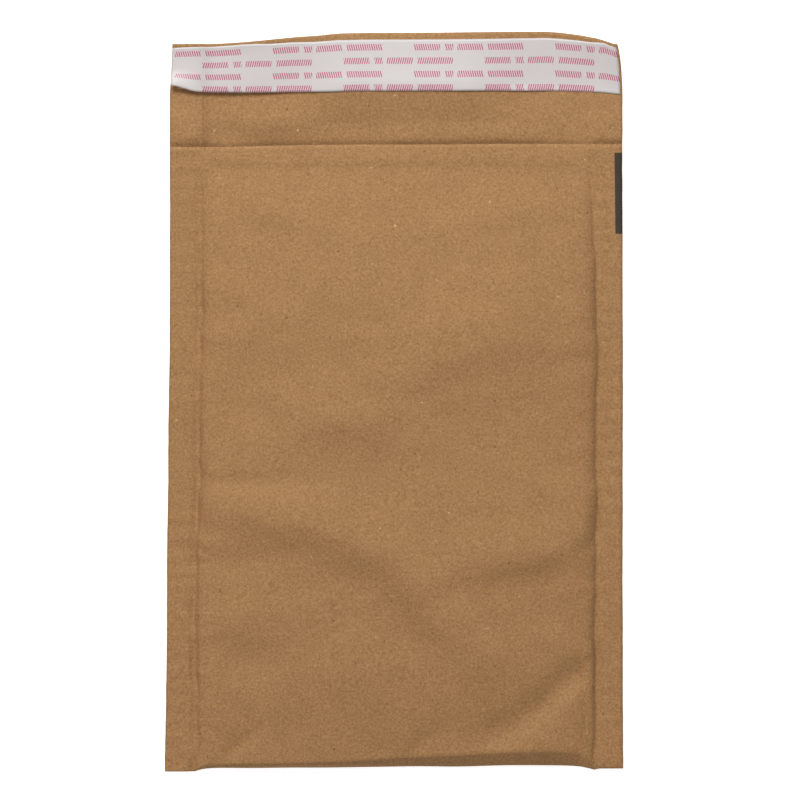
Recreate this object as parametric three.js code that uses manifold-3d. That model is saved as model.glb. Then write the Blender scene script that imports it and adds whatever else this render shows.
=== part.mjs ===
// A padded mailing envelope, lying on its back.
//
// A web of kraft paper is folded once across the bottom and sealed down both sides, which makes the front panel, the
// back panel and the flap one sheet. Inside it lies a folded sheet of bubble film, which is the padding and the wall
// of the pocket. The flap carries a strip of hot-melt adhesive under a peel-off release liner.
//
// Millimetres. +X is across the width, +Y towards the flap and +Z up. The origin is on the surface that the envelope
// lies on, under the middle of its outline.
import * as THREE from 'three';
import Module from 'manifold-3d';

const wasm = await Module();
wasm.setup();
const { lerp, smoothstep, degToRad } = THREE.MathUtils;

// ---- Driving dimensions -------------------------------------------------------------------------------------------

const BODY_WIDTH = 200; // across the body, half way up
const BODY_LENGTH = 275; // from the corners of the bottom fold to the lip of the front panel
const FLAP_LENGTH = 50; // from the lip to the middle of the flap's free edge
const SEAL_WIDTH_LEFT = 15; // the flat strip where front and back are sealed, on the left
const SEAL_WIDTH_RIGHT = 12; // the same on the right
const SEAL_THICKNESS = 1; // two papers with the crushed film between them
const SEAL_LIFT = 2.4; // how high the seals hang above the surface, held up by the padding
const PADDED_THICKNESS = 10.4; // over both padded walls and the open pocket
const LIP_HEIGHT = 7.7; // top of the front panel's free edge at the mouth

const PAPER = 0.3; // wall of the paper sheet
const FILM_WALL = 2.4; // one layer of bubble film, flat film and bubbles together
const CLEARANCE = 0.3; // between the paper and the film
const MOUTH_SETBACK = 9; // the film stops this far below the lip

const FOLD_THICKNESS = 7; // over the rounded bottom fold
const FOLD_RADIUS = 3.6; // of the bottom fold, along the length
const FOLD_TUCK = 2.2; // how far padding draws the fold up between its two sealed corners
const SWELL_LENGTH = 42; // from the fold to the full thickness
const SHOULDER = 16; // from a seal to the full thickness

const CORNER_FLARE = 0.6; // each bottom corner stands out past the body's side
const TIP_TAPER_LEFT = 2.6; // each end of the flap's free edge lies in from the body's side
const TIP_TAPER_RIGHT = 1.8;
const TIP_DROP_LEFT = 5; // each end of the curled free edge lies closer to the lip than its middle
const TIP_DROP_RIGHT = 5.3;
const CURL_LEFT = 13; // height of the curled ends of the free edge
const CURL_RIGHT = 8;
const CURL_START = 0.3; // share of the flap that stays down before the curl begins
const CURL_FROM_LEFT = [-5, 74]; // distance left of the middle where the curl begins and is full
const CURL_FROM_RIGHT = [64, 98]; // the same to the right

const STRIP_THICKNESS = 0.2; // adhesive strip and release liner
const STRIP_GAP = 0.2; // under each of them
const LINER_SPAN = [0.475, 0.94]; // share of the flap's length that the liner covers
const ADHESIVE_SPAN = [0.55, 0.88];
const LINER_END_GAP = 1; // liner to the flap's side edges
const ADHESIVE_END_GAP = 3;

// ---- Worked out from them -----------------------------------------------------------------------------------------

const TOTAL_LENGTH = BODY_LENGTH + FLAP_LENGTH;
const BOTTOM_Y = -TOTAL_LENGTH / 2;
const LIP_Y = BOTTOM_Y + BODY_LENGTH;
const TIP_Y = TOTAL_LENGTH / 2;
const FILM_TOP_Y = LIP_Y - MOUTH_SETBACK;
const HALF_WIDTH = BODY_WIDTH / 2;

const FOLD_MIDDLE = SEAL_LIFT + SEAL_THICKNESS / 2;
const FOLD_STEPS = [14, 34, 58, 90].map(degToRad); // round the fold, from its outermost line to the panels
const SWELL_STEPS = [0.15, 0.35, 0.65, 1];
const PANEL_STEPS = [0.33, 0.67];
const PAST_MOUTH = 1.5; // a cutting solid runs this far out of the mouth that it opens

// Distances from a seal where the shoulder has a line of points. The layers start at different lines.
const SHOULDER_LINES = [0, 2.6, 3.2, 6.4, 9.6, 12.8, SHOULDER];
const LAYERS = {
  outside: { inset: 0, firstLine: 0 },
  paperInside: { inset: PAPER, firstLine: 1 },
  filmOutside: { inset: PAPER + CLEARANCE, firstLine: 2 },
  pocket: { inset: PAPER + CLEARANCE + FILM_WALL, firstLine: 4 },
};
const THINNEST = 0.3; // least height of a cutting solid, where the padded walls meet
const PANEL_COLUMNS = 7;
const FLAP_ROWS = [0.15, 0.3, 0.4, ...LINER_SPAN, ...ADHESIVE_SPAN, 0.72, 1].sort((a, b) => a - b);
const FLAP_TAB = 1.5; // the flap runs this far into the back panel, so that the two join
const TAB_INSET = 0.08;

const steps = (from, to, count) => Array.from({ length: count + 1 }, (_, i) => lerp(from, to, i / count));

// Half the width at a place along the length, on one side: -1 is left and +1 is right.
function sideEdge(side, y) {
  const flare = CORNER_FLARE * (1 - smoothstep(y, BOTTOM_Y, BOTTOM_Y + 40));
  const taper = side < 0 ? TIP_TAPER_LEFT : TIP_TAPER_RIGHT;
  return side * (HALF_WIDTH + flare - taper * smoothstep(y, LIP_Y, TIP_Y));
}

function sealLine(side, y) {
  return sideEdge(side, y) - side * (side < 0 ? SEAL_WIDTH_LEFT : SEAL_WIDTH_RIGHT);
}

// The lines of points across the envelope at one place along its length. pad is 0 on the seals and 1 on the panel.
function columns(y, firstLine) {
  const left = sealLine(-1, y);
  const right = sealLine(1, y);
  const lines = SHOULDER_LINES.slice(firstLine);
  const panel = steps(left + SHOULDER, right - SHOULDER, PANEL_COLUMNS).slice(1, -1);
  const list = [
    ...lines.map((d) => ({ x: left + d, pad: smoothstep(d, 0, SHOULDER) })),
    ...panel.map((x) => ({ x, pad: 1 })),
    ...lines.toReversed().map((d) => ({ x: right - d, pad: smoothstep(d, 0, SHOULDER) })),
  ];
  if (firstLine > 0) return list;
  return [{ x: sideEdge(-1, y), pad: 0 }, ...list, { x: sideEdge(1, y), pad: 0 }];
}

// A closed solid between a lower and an upper face over one grid of points {x, y, low, high}, rows going along +Y.
function slab(grid) {
  const width = grid[0].length;
  const count = grid.length * width;
  const points = grid.flat();
  const positions = [...points.map((p) => [p.x, p.y, p.low]), ...points.map((p) => [p.x, p.y, p.high])];
  const index = [];
  const quad = (a, b, c, d) => index.push(a, b, c, a, c, d);
  for (let r = 0; r + 1 < grid.length; r++) {
    for (let c = 0; c + 1 < width; c++) {
      const a = r * width + c;
      quad(a, a + width, a + width + 1, a + 1);
      quad(a + count, a + count + 1, a + count + width + 1, a + count + width);
    }
  }
  const lastRow = (grid.length - 1) * width;
  const across = steps(0, width - 1, width - 1);
  const along = steps(0, grid.length - 1, grid.length - 1);
  const rim = [
    ...across.slice(0, -1),
    ...along.slice(0, -1).map((r) => r * width + width - 1),
    ...across.slice(1).reverse().map((c) => lastRow + c),
    ...along.slice(1).reverse().map((r) => r * width),
  ];
  rim.forEach((a, i) => {
    const b = rim[(i + 1) % rim.length];
    quad(a, b, b + count, a + count);
  });
  const geometry = new THREE.BufferGeometry();
  geometry.setAttribute('position', new THREE.Float32BufferAttribute(positions.flat(), 3));
  geometry.setIndex(index);
  return geometry;
}

function solidOf(geometry) {
  const vertProperties = geometry.attributes.position.array;
  const triVerts = new Uint32Array(geometry.index.array);
  return new wasm.Manifold(new wasm.Mesh({ numProp: 3, vertProperties, triVerts }));
}

function geometryOf(solid) {
  const mesh = solid.getMesh();
  const geometry = new THREE.BufferGeometry();
  geometry.setAttribute('position', new THREE.BufferAttribute(mesh.vertProperties, 3));
  geometry.setIndex(new THREE.BufferAttribute(mesh.triVerts, 1));
  geometry.computeVertexNormals();
  return geometry;
}

// ---- The padded body ----------------------------------------------------------------------------------------------

// Thickness over the padded middle, at a place along the length past the fold.
function thickness(y) {
  const swollen = smoothstep(y, BOTTOM_Y + FOLD_RADIUS, BOTTOM_Y + SWELL_LENGTH);
  const full = lerp(FOLD_THICKNESS, PADDED_THICKNESS, swollen);
  return full - (PADDED_THICKNESS - LIP_HEIGHT) * THREE.MathUtils.clamp((y - FILM_TOP_Y) / MOUTH_SETBACK, 0, 1);
}

// The rows of one layer up to a place along the length: round the fold, through the swell and up the panel.
function bodyRows({ inset }, endY, pastMouth) {
  const rows = FOLD_STEPS.map((angle) => ({
    y: BOTTOM_Y + inset + (FOLD_RADIUS - inset) * (1 - Math.cos(angle)),
    low: FOLD_MIDDLE - (FOLD_MIDDLE - inset) * Math.sin(angle),
    high: FOLD_MIDDLE + (FOLD_THICKNESS - FOLD_MIDDLE - inset) * Math.sin(angle),
  }));
  const swellEnd = BOTTOM_Y + SWELL_LENGTH;
  const panel = [
    ...SWELL_STEPS.map((t) => lerp(BOTTOM_Y + FOLD_RADIUS, swellEnd, t)),
    ...PANEL_STEPS.map((t) => lerp(swellEnd, FILM_TOP_Y, t)),
    FILM_TOP_Y,
  ];
  if (endY > FILM_TOP_Y) panel.push(endY);
  rows.push(...panel.map((y) => ({ y, low: inset, high: thickness(y) - inset })));
  if (pastMouth) rows.push({ ...rows.at(-1), y: endY + PAST_MOUTH });
  return rows;
}

function bodyLayer(layer, endY, pastMouth = false) {
  const seal = { low: SEAL_LIFT + layer.inset, high: SEAL_LIFT + SEAL_THICKNESS - layer.inset };
  const grid = bodyRows(layer, endY, pastMouth).map((row) =>
    columns(row.y, layer.firstLine).map(({ x, pad }) => {
      const tuck = FOLD_TUCK * pad * (1 - smoothstep(row.y, BOTTOM_Y, BOTTOM_Y + SWELL_LENGTH));
      const low = lerp(seal.low, row.low, pad);
      const high = lerp(seal.high, row.high, pad);
      const middle = (low + high) / 2;
      const half = Math.max(high - low, THINNEST) / 2;
      return { x, y: row.y + tuck, low: middle - half, high: middle + half };
    }),
  );
  return solidOf(slab(grid));
}

// ---- The flap and what is on it -----------------------------------------------------------------------------------

const curlLeft = (x) => smoothstep(-x, ...CURL_FROM_LEFT);
const curlRight = (x) => smoothstep(x, ...CURL_FROM_RIGHT);
const flapEnd = (x) => TIP_Y - TIP_DROP_LEFT * curlLeft(x) - TIP_DROP_RIGHT * curlRight(x);

// Height of the flap's lower face. share goes from 0 at the lip to 1 at the free edge.
function flapHeight(x, pad, share) {
  const root = SEAL_LIFT * (1 - pad) * (1 - smoothstep(share, 0, 0.6));
  const t = Math.max(0, (share - CURL_START) / (1 - CURL_START));
  const bend = t * t * (1.6 - 0.6 * t);
  return root + bend * (CURL_LEFT * curlLeft(x) + CURL_RIGHT * curlRight(x));
}

// The grid point that lies a distance across from one point, on the straight line to its neighbour.
function towards(point, neighbour, distance) {
  const t = distance / Math.abs(neighbour.x - point.x);
  return Object.fromEntries(Object.keys(point).map((key) => [key, lerp(point[key], neighbour[key], t)]));
}

// A layer over part of the flap: lift is the height of its lower face over the flap's, and shares are its rows.
function flapLayer(shares, lift, thick, endGap) {
  return shares.map((share) => {
    const rowY = lerp(LIP_Y, TIP_Y, share);
    const row = columns(rowY, 0).map(({ x, pad }) => {
      const low = flapHeight(x, pad, share) + lift;
      return { x, y: lerp(LIP_Y, flapEnd(x), share), low, high: low + thick };
    });
    row[0] = towards(row[0], row[1], endGap);
    row.push(towards(row.pop(), row.at(-1), endGap));
    return row;
  });
}

function flapSheet() {
  const grid = flapLayer([0, ...FLAP_ROWS], 0, PAPER, 0);
  const tab = grid[0].map((p) => ({ ...p, y: p.y - FLAP_TAB, low: p.low + TAB_INSET, high: p.high - TAB_INSET }));
  return solidOf(slab([tab, ...grid]));
}

const rowsWithin = ([from, to]) => FLAP_ROWS.filter((share) => share >= from && share <= to);

// ---- The part -----------------------------------------------------------------------------------------------------

const envelope = new THREE.Group();

function addPiece(name, geometry, material) {
  const mesh = new THREE.Mesh(geometry, new THREE.MeshStandardMaterial(material));
  mesh.name = name;
  envelope.add(mesh);
}

// One paper sheet: the sealed body with its inside cut out, and the flap that runs on from the back panel.
const paper = bodyLayer(LAYERS.outside, LIP_Y)
  .subtract(bodyLayer(LAYERS.paperInside, LIP_Y, true))
  .add(flapSheet());
addPiece('kraft_sheet', geometryOf(paper), { color: 0xa67e55, roughness: 0.85, metalness: 0 });

// The folded bubble film, with the pocket cut out of it.
const film = bodyLayer(LAYERS.filmOutside, FILM_TOP_Y).subtract(bodyLayer(LAYERS.pocket, FILM_TOP_Y, true));
addPiece('bubble_lining', geometryOf(film), { color: 0xdfe3e4, roughness: 0.3, metalness: 0 });

const adhesive = flapLayer(rowsWithin(ADHESIVE_SPAN), PAPER + STRIP_GAP, STRIP_THICKNESS, ADHESIVE_END_GAP);
addPiece('adhesive_strip', slab(adhesive), { color: 0xe8dfc6, roughness: 0.25, metalness: 0 });

const linerLift = PAPER + STRIP_GAP + STRIP_THICKNESS + STRIP_GAP;
const liner = flapLayer(rowsWithin(LINER_SPAN), linerLift, STRIP_THICKNESS, LINER_END_GAP);
addPiece('release_liner', slab(liner), { color: 0xdcdcdc, roughness: 0.4, metalness: 0 });

export default envelope;
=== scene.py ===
"""The looks of a padded mailing envelope that lies on its back.

Lengths inside the shape functions are millimetres in the frame's own axes: +X across the envelope, +Y
towards the flap, +Z up. A mesh is turned to metres when it is made.
"""
import math

import bpy
import numpy as np
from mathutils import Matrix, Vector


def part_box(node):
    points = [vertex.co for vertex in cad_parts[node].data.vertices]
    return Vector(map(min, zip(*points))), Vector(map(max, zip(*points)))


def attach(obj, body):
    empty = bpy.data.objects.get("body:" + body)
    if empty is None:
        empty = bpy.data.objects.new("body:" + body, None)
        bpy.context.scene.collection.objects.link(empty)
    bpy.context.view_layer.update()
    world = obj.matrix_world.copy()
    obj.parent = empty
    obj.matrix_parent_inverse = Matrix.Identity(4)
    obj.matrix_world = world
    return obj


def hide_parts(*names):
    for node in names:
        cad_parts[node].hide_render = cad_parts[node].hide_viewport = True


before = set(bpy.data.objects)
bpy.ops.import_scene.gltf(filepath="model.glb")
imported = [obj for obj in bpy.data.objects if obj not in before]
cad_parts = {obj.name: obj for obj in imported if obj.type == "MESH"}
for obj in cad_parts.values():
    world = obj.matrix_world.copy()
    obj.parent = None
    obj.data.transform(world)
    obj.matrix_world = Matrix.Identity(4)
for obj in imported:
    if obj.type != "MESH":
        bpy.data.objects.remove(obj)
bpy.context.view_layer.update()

MM = 0.001


# ---- Sizes from the frame ------------------------------------------------------------------------


def box_mm(node):
    """The lowest and highest corners of a CAD node, in millimetres."""
    low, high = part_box(node)
    return np.array(low) / MM, np.array(high) / MM


paper_low, paper_high = box_mm("kraft_sheet")
_, film_high = box_mm("bubble_lining")

CORNER_FLARE = 0.6  # each bottom corner stands out past the body's side
MOUTH_SETBACK = 9.0  # the film's nominal top lies this far below the lip
CAD_FILM_INSET = 0.6  # the CAD film lies this far inside its nominal outline
BOTTOM = paper_low[1]
FILM_TOP = film_high[1]
LIP = FILM_TOP + MOUTH_SETBACK + CAD_FILM_INSET
HALF_WIDTH = paper_high[0] - CORNER_FLARE

SEAL_HEIGHT = 2.9  # middle of the side seals over the table
SEAL_HALF = 0.35  # half the thickness of a seal
PAPER = 0.18
SWELL = 7.3  # the front panel's rise over the seals
SAG = SEAL_HEIGHT - SEAL_HALF - 0.12  # the back panel's fall under them, down to the table
LIP_HEIGHT = 4.8  # of the front panel's free edge, in the middle of the mouth
RIPPLE_PITCH = 7.4  # the rows of crushed bubbles that show in the seals
PUCKER_PITCH = 9.5  # the short wrinkles that run in from the seals
INSET_SPREAD = 1.6  # an inner layer's seal line lies this many times its inset further in


# ---- Shape functions -----------------------------------------------------------------------------


def ease(low, high, value):
    """0 at low, 1 at high and smooth between them, with no change past either. low may be the larger
    one."""
    t = np.clip((value - low) / (high - low), 0.0, 1.0)
    return t * t * (3 - 2 * t)


def waves(x, y, length, seed, count=14, stretch=1.0):
    """Smooth random waves of about one length, with a standard deviation of 1. stretch lengthens them
    along x."""
    draw = np.random.default_rng(seed)
    total = np.zeros(np.broadcast(x, y).shape)
    for _ in range(count):
        turn = draw.uniform(0, 2 * math.pi)
        pace = 2 * math.pi / (length * draw.uniform(0.7, 1.5))
        way = x * math.cos(turn) / stretch + y * math.sin(turn)
        total += np.cos(pace * way + draw.uniform(0, 2 * math.pi))
    return total * math.sqrt(2 / count)


def form(x, y, above, below, *path):
    """A ridge, or with negative heights a furrow, through the (x, y, height) points of a path that is
    drawn from left to right. above and below are its widths on the side towards the flap and on the other
    side."""
    nearest = np.full(np.broadcast(x, y).shape, np.inf)
    side = np.zeros_like(nearest)
    height = np.zeros_like(nearest)
    for (x0, y0, h0), (x1, y1, h1) in zip(path, path[1:]):
        run = math.hypot(x1 - x0, y1 - y0)
        t = np.clip(((x - x0) * (x1 - x0) + (y - y0) * (y1 - y0)) / run ** 2, 0, 1)
        away = np.hypot(x - x0 - t * (x1 - x0), y - y0 - t * (y1 - y0)) + 1e-6
        turned = ((x1 - x0) * (y - y0) - (y1 - y0) * (x - x0)) / (run * away)
        closer = away < nearest
        nearest = np.where(closer, away, nearest)
        side = np.where(closer, turned, side)
        height = np.where(closer, h0 + (h1 - h0) * t, height)
    width = below + (above - below) * (0.5 + 0.5 * np.clip(side, -1, 1))
    return height * np.exp(-((nearest / width) ** 2))


# The outline and the seal lines: (y, x) knots from the bottom up.
LEFT_EDGE = ((BOTTOM, -101.0), (-145, -100.5), (-114, -100.1), (-43, -99.6), (0, -99.0), (45, -98.7),
             (110, -98.7), (136, -98.6), (158, -97.4))
RIGHT_EDGE = ((BOTTOM, 100.4), (-120, 100.2), (60, 100.2), (90, 100.0), (134, 100.1), (141, 99.9),
              (150, 99.2), (154.3, 98.5), (158, 97.5))
LEFT_SEAL = ((-60, -87.0), (-20, -85.2), (LIP, -85.0))
RIGHT_SEAL = ((-60, 88.5), (60, 89.0), (95, 86.2), (LIP, 84.9))


def along(knots, place):
    """The value at a place between a list of (place, value) knots."""
    places, values = zip(*knots)
    return np.interp(place, places, values)


def edges(y):
    """The left and right side edges, with the slight wander of a slit web."""
    left_wander = 0.06 * waves(0 * y, y, 42, seed=3) + 0.03 * waves(0 * y, y, 8, seed=13)
    right_wander = 0.06 * waves(0 * y, y, 50, seed=4) + 0.03 * waves(0 * y, y, 8, seed=14)
    return along(LEFT_EDGE, y) + left_wander, along(RIGHT_EDGE, y) + right_wander


def across(y, share):
    """The place across the web at a share of its width, from the left edge to the right."""
    left, right = edges(y)
    return left + (right - left) * share


def seal_wander(y, seed):
    """How far a seal line strays from straight, where the hot jaw met whole or half bubbles."""
    return 0.22 * waves(0 * y, y, 16, seed) + 0.22 * waves(0 * y, y, 45, seed + 1)


def inward(x, y):
    """How far a place lies inside the nearer side seal; negative on the seals."""
    from_left = x - along(LEFT_SEAL, y) - seal_wander(y, seed=71)
    from_right = along(RIGHT_SEAL, y) - x - seal_wander(y, seed=75)
    return np.minimum(from_left, from_right)


def own_side(x):
    """A place far to the left or right for each seal, so that the two draw different waves along their
    length."""
    return 50 * np.sign(x)


def seal_groove(x, y):
    """The depth of the groove that the jaw pressed along each seal line. It fades towards the mouth, and
    on the right it is deepest near the bottom."""
    clear_of_mouth = ease(LIP - 2, LIP - 50, y) + 0.6 * ease(20, -60, y)
    left = 0.38 + 0.38 * clear_of_mouth
    right = 0.10 + 0.18 * clear_of_mouth + 0.5 * ease(-70, -115, y)
    pressed = np.maximum(1 + 0.28 * waves(own_side(x), y, 16, seed=79), 0.5)
    width = np.where(x < 0, 1.7, 2.3)
    middle = -0.9
    return np.where(x < 0, left, right) * pressed * np.exp(-(((inward(x, y) - middle) / width) ** 2))


def seal_height(x, y):
    """Middle of a side seal: nearly flat, with the uneven ripple of the crushed bubble rows."""
    on_seal = ease(5, -1, inward(x, y))
    strength = 0.085 + 0.035 * waves(x, y, 45, seed=8)
    ripple = strength * np.cos(2 * math.pi * y / RIPPLE_PITCH + 0.9 * waves(x, y, 40, seed=5))
    fine = 0.022 * waves(x, y, 5, seed=7, stretch=3.0)
    sway = 0.35 * waves(own_side(x), y, 150, seed=6) * ease(60, 100, np.abs(x))
    return SEAL_HEIGHT + (ripple + fine) * on_seal + sway - seal_groove(x, y)


def shoulder(x, y, depth):
    """0 on a seal and 1 in the middle of the panel: a quick rise over the first bubbles and a slow
    crown."""
    depth = np.maximum(depth, 0)
    softer = 0.06 * ease(20, -20, y) * ease(-120, -90, y)
    quick = 0.34 + (0.14 - softer) * ease(-30, 30, x)
    first_bubbles = 1 - np.exp(-depth / 2.8)
    crown = 1 - (1 - np.minimum(depth / 60, 1)) ** 2
    return quick * first_bubbles + (1 - quick) * crown


# The front panel's own swells, dents and creases: width above, width below and the path.
FRONT_FORMS = (
    # The long ridge that comes in from the left seal and turns down to the right, and the hollow under it.
    (16, 10, (-88, -43, 0.8), (-74, -46, 2.1), (-58, -49.5, 2.8), (-45, -53, 2.8), (-25, -58, 2.4),
     (-6, -64, 1.6), (8, -72, 0.6)),
    (12, 9.5, (-14, -65, 0.8), (0, -73, 2.0), (12, -86, 2.6), (22, -98, 2.6), (32, -112, 1.1)),
    (12, 16, (-70, -66, -0.3), (-44, -74, -0.5), (-18, -84, -0.6), (0, -100, -0.4)),
    # The ridge that meets it from the right seal.
    (14, 8.5, (14, -77, 0.5), (33, -71, 1.9), (50, -68.5, 2.5), (66, -66, 2.5), (80, -60, 2.3),
     (90, -56, 1.7)),
    # The deep crease towards the lower right corner, and the swell under it.
    (6.5, 7.5, (38, -146, -0.5), (52, -142, -1.1), (63.2, -135, -1.8), (70.8, -127.4, -2.2),
     (76.7, -121.5, -2.2), (83, -117.7, -1.9), (90, -116.5, -1.2)),
    (5, 17, (54, -151, 0.5), (66, -141, 1.1), (76, -132, 1.5), (84, -125, 1.3)),
    # Dents beside the left seal.
    (3.6, 5, (-86, -34, -0.3), (-72, -35.5, -0.9), (-58, -35.5, -0.8), (-40, -34, -0.3)),
    (4.5, 6, (-82, -69, -0.6), (-66, -70.5, -0.6), (-54, -70, -0.2)),
    (9, 13, (-84, -112, -1.0), (-60, -115, -1.3), (-40, -112, -0.6)),
    # The broad swell over the middle, towards the right, and the faint crease at its foot.
    (22, 14, (-16, 2, 0.8), (8, 13, 2.0), (32, 25, 2.8), (52, 30, 2.4), (70, 29, 0.9)),
    (5, 4, (-6, 1.5, -0.15), (8, 1, -0.3), (22, 2, -0.1)),
    # Short creases that run up from the bottom fold.
    (3.2, 5, (5, -157, -0.8), (13, -148.5, -0.8), (22, -141, -0.3)),
    (2.8, 2.6, (-79, -161, -0.9), (-69, -151, -0.9), (-60, -144.5, -0.3)),
    (3, 2.5, (-70, -133, -0.25), (-61, -142, -0.25)),
    # Low swells of the upper and middle left.
    (6, 4, (-74, 79, 0.1), (-60, 85.5, 0.3), (-48, 81, 0.35), (-30, 76, 0.3), (-20, 74, 0.3),
     (-12, 80, 0.1)),
    (12, 8, (-80, 30, 0.4), (-60, 28, 0.45), (-40, 28, 0.3)),
    (14, 9, (-44, -5, 0.5), (-28, -7, 1.3), (-10, -11, 1.4), (2, -19, 0.5)),
    # The hollow over the lower right, and low swells above the right ridge.
    (16, 9, (28, -148, -0.5), (46, -146, -1.1), (60, -140, -0.9)),
    (7, 14, (8, -30, 0.3), (17, -46, 0.6), (28, -60, 0.3)),
    (14, 8, (52, -42, 0.3), (66, -40, 0.6), (84, -42, 0.6)),
    # Nicks at the seals.
    (4, 4, (-90, -20, -0.5), (-80, -28, -0.3)),
    (4, 4, (77, -66.5, -0.3), (90, -62, -0.8)),
    (4, 4, (80, -88, -0.3), (90, -83, -0.6)),
    (4, 5, (76, 17, -0.3), (90, 20, -0.6)),
    (3, 3, (83, -137, -0.4), (84.5, -124, -0.5)),
    (4, 4, (-88, 44, -0.35), (-77, 40, -0.2)),
    (5, 5, (-88, -100, -0.45), (-77, -105, -0.3)),
    # The step where the film ends below the mouth.
    (2.4, 12, (-78, FILM_TOP - 0.9, -0.6), (-40, FILM_TOP - 1.8, -0.75), (0, FILM_TOP - 1.0, -0.7),
     (80, FILM_TOP - 1.6, -0.45)),
    # The furrow beside the lower right seal.
    (4, 4, (83, -160, -0.7), (84.5, -140, -0.8), (86, -122, -0.7)),
)


def puckers(x, y, seed):
    """Short wrinkles that run in from the seals, uneven in pitch."""
    return np.cos(2 * math.pi * y / PUCKER_PITCH + 2.6 * waves(x, y, 26, seed))


def cockle(x, y, depth, seed):
    """The fine unevenness of paper that is bonded to bubble film: soft swells, short wrinkles at the
    seals."""
    soft = 0.16 * waves(x, y, 44, seed) + 0.075 * waves(x, y, 22, seed + 1)
    soft = soft + 0.02 * waves(x, y, 9, seed + 2)
    strength = (0.10 + 0.07 * ease(40, -40, y)) * (0.5 + 0.5 * waves(x, y, 30, seed + 4))
    gathered = strength * puckers(x, y, seed + 3) * np.exp(-(((depth - 4.0) / 4.5) ** 2))
    return (soft * ease(0, 14, depth) + gathered * ease(0, 2.5, depth)) * (depth > 0)


def lip_line(x):
    """The front panel's free edge: it was cut a little lower towards the left."""
    return LIP - 1.5 * ease(20, -98, x) - 0.15 * waves(x, 0 * x, 70, seed=9)


MOUTH_REACH = 70  # the panel comes down to the lip's height over this length
BOTTOM_REACH = (2, 48)  # and rises to its full swell between these distances from the bottom


def front_height(x, y, inset=0.0):
    """The front panel's outer face, past the bottom fold, or a face that lies inset towards the pocket."""
    depth = inward(x, y) - INSET_SPREAD * inset
    crown = 1 - 0.10 * ((y + 25) / 130) ** 2
    at_fold = 0.60 + 0.14 * ease(-20, 60, x)
    swollen = at_fold + (1 - at_fold) * ease(*BOTTOM_REACH, y - BOTTOM)
    rise = SWELL * crown * swollen * shoulder(x, y, depth)
    near_lip = np.clip(1 - (lip_line(x) - y) / MOUTH_REACH, 0, 1) ** 1.5
    lip_rise = (LIP_HEIGHT - SEAL_HEIGHT - SEAL_HALF) * ease(0, 34, depth)
    rise = rise + (lip_rise - rise) * near_lip
    dents = sum(form(x, y, *shape) for shape in FRONT_FORMS) * ease(0, 7, depth)
    on_pad = ease(-0.5, 1.0, inward(x, y))
    return seal_height(x, y) + SEAL_HALF - inset + (rise + dents + cockle(x, y, depth, seed=20)) * on_pad


def back_height(x, y, inset=0.0):
    """The back panel's outer face, pressed flat on the table in its middle, or a face inset towards the
    pocket."""
    depth = inward(x, y) - INSET_SPREAD * inset
    pad = 1 - np.exp(-np.maximum(depth, 0) / 3.0)
    flat = seal_height(x, y) - SEAL_HALF - SAG * pad
    loose = 0.25 * np.abs(waves(x, y, 55, seed=31)) + 0.05 * np.abs(waves(x, y, 16, seed=32))
    gathered = 0.10 * puckers(x, y, seed=33) * np.exp(-(((depth - 3.5) / 4.5) ** 2)) * ease(0, 2, depth)
    return np.maximum(flat + (loose + gathered) * ease(0, 12, depth), 0.05) + inset


# ---- Node helper ---------------------------------------------------------------------------------

MATH = "ShaderNodeMath"
VECTOR_MATH = "ShaderNodeVectorMath"
NOISE = "ShaderNodeTexNoise"
MIX = "ShaderNodeMix"
MIX_A = 6  # the places of the Mix node's two colour inputs and of its colour output
MIX_B = 7
MIX_COLOUR = 2


def linear(hex_colour):
    """An sRGB hex colour as linear red, green, blue and alpha."""
    channels = [int(hex_colour[i:i + 2], 16) / 255 for i in (1, 3, 5)]
    return (*[c / 12.92 if c <= 0.04045 else ((c + 0.055) / 1.055) ** 2.4 for c in channels], 1.0)


def add(tree, kind, inputs=(), **settings):
    """A new node with its settings. Its inputs, by place or by name, are set to values or linked to other
    nodes' outputs. A node that is given as an input stands for its first output."""
    made = tree.nodes.new(kind)
    for name, value in settings.items():
        setattr(made, name, value)
    for name, value in inputs.items() if isinstance(inputs, dict) else enumerate(inputs):
        if isinstance(value, bpy.types.Node):
            value = value.outputs[0]
        if isinstance(value, bpy.types.NodeSocket):
            tree.links.new(value, made.inputs[name])
        else:
            made.inputs[name].default_value = value
    return made


# ---- The paper sheet -----------------------------------------------------------------------------

PAPER_COLUMNS = 134
PAPER_ROWS = (170, 14, 110)  # over the front panel, round the fold and over the back panel
PAPER_CROWDING = 2.2
FLAP_ROWS = 38
SEAL_COLUMNS_AT = (-86, 88)  # where the columns crowd, to draw the seal lines


def web_shares(count, crowding):
    """Shares across the web, closer together at the two seal lines."""
    x = np.linspace(-HALF_WIDTH, HALF_WIDTH, 2001)
    density = 1 + crowding * sum(np.exp(-(((x - place) / 5) ** 2)) for place in SEAL_COLUMNS_AT)
    total = np.concatenate([[0], np.cumsum((density[1:] + density[:-1]) / 2)])
    return np.interp(np.linspace(0, total[-1], count), total, (x + HALF_WIDTH) / (2 * HALF_WIDTH))


def fold_line(x, inset):
    """The bottom fold at a place across: its line and its reach up the panel. The sealed corners stand out
    below, because the padding draws the fold up between them."""
    depth = inward(x, BOTTOM + 0 * x)
    full = 1 - np.exp(-np.maximum(depth, 0) / 3.2)
    tuck = (1.5 + 1.1 * ease(-70, 70, x) + 0.10 * waves(x, 0 * x, 40, seed=41)) * full
    radius = 2.6 + 3.8 * ease(-50, 70, x)
    corner = 1.3 * ease(84, 91, x)
    at_seal = 0.5
    return BOTTOM + tuck + corner + inset * full, at_seal + (radius - at_seal - inset) * full


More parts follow.
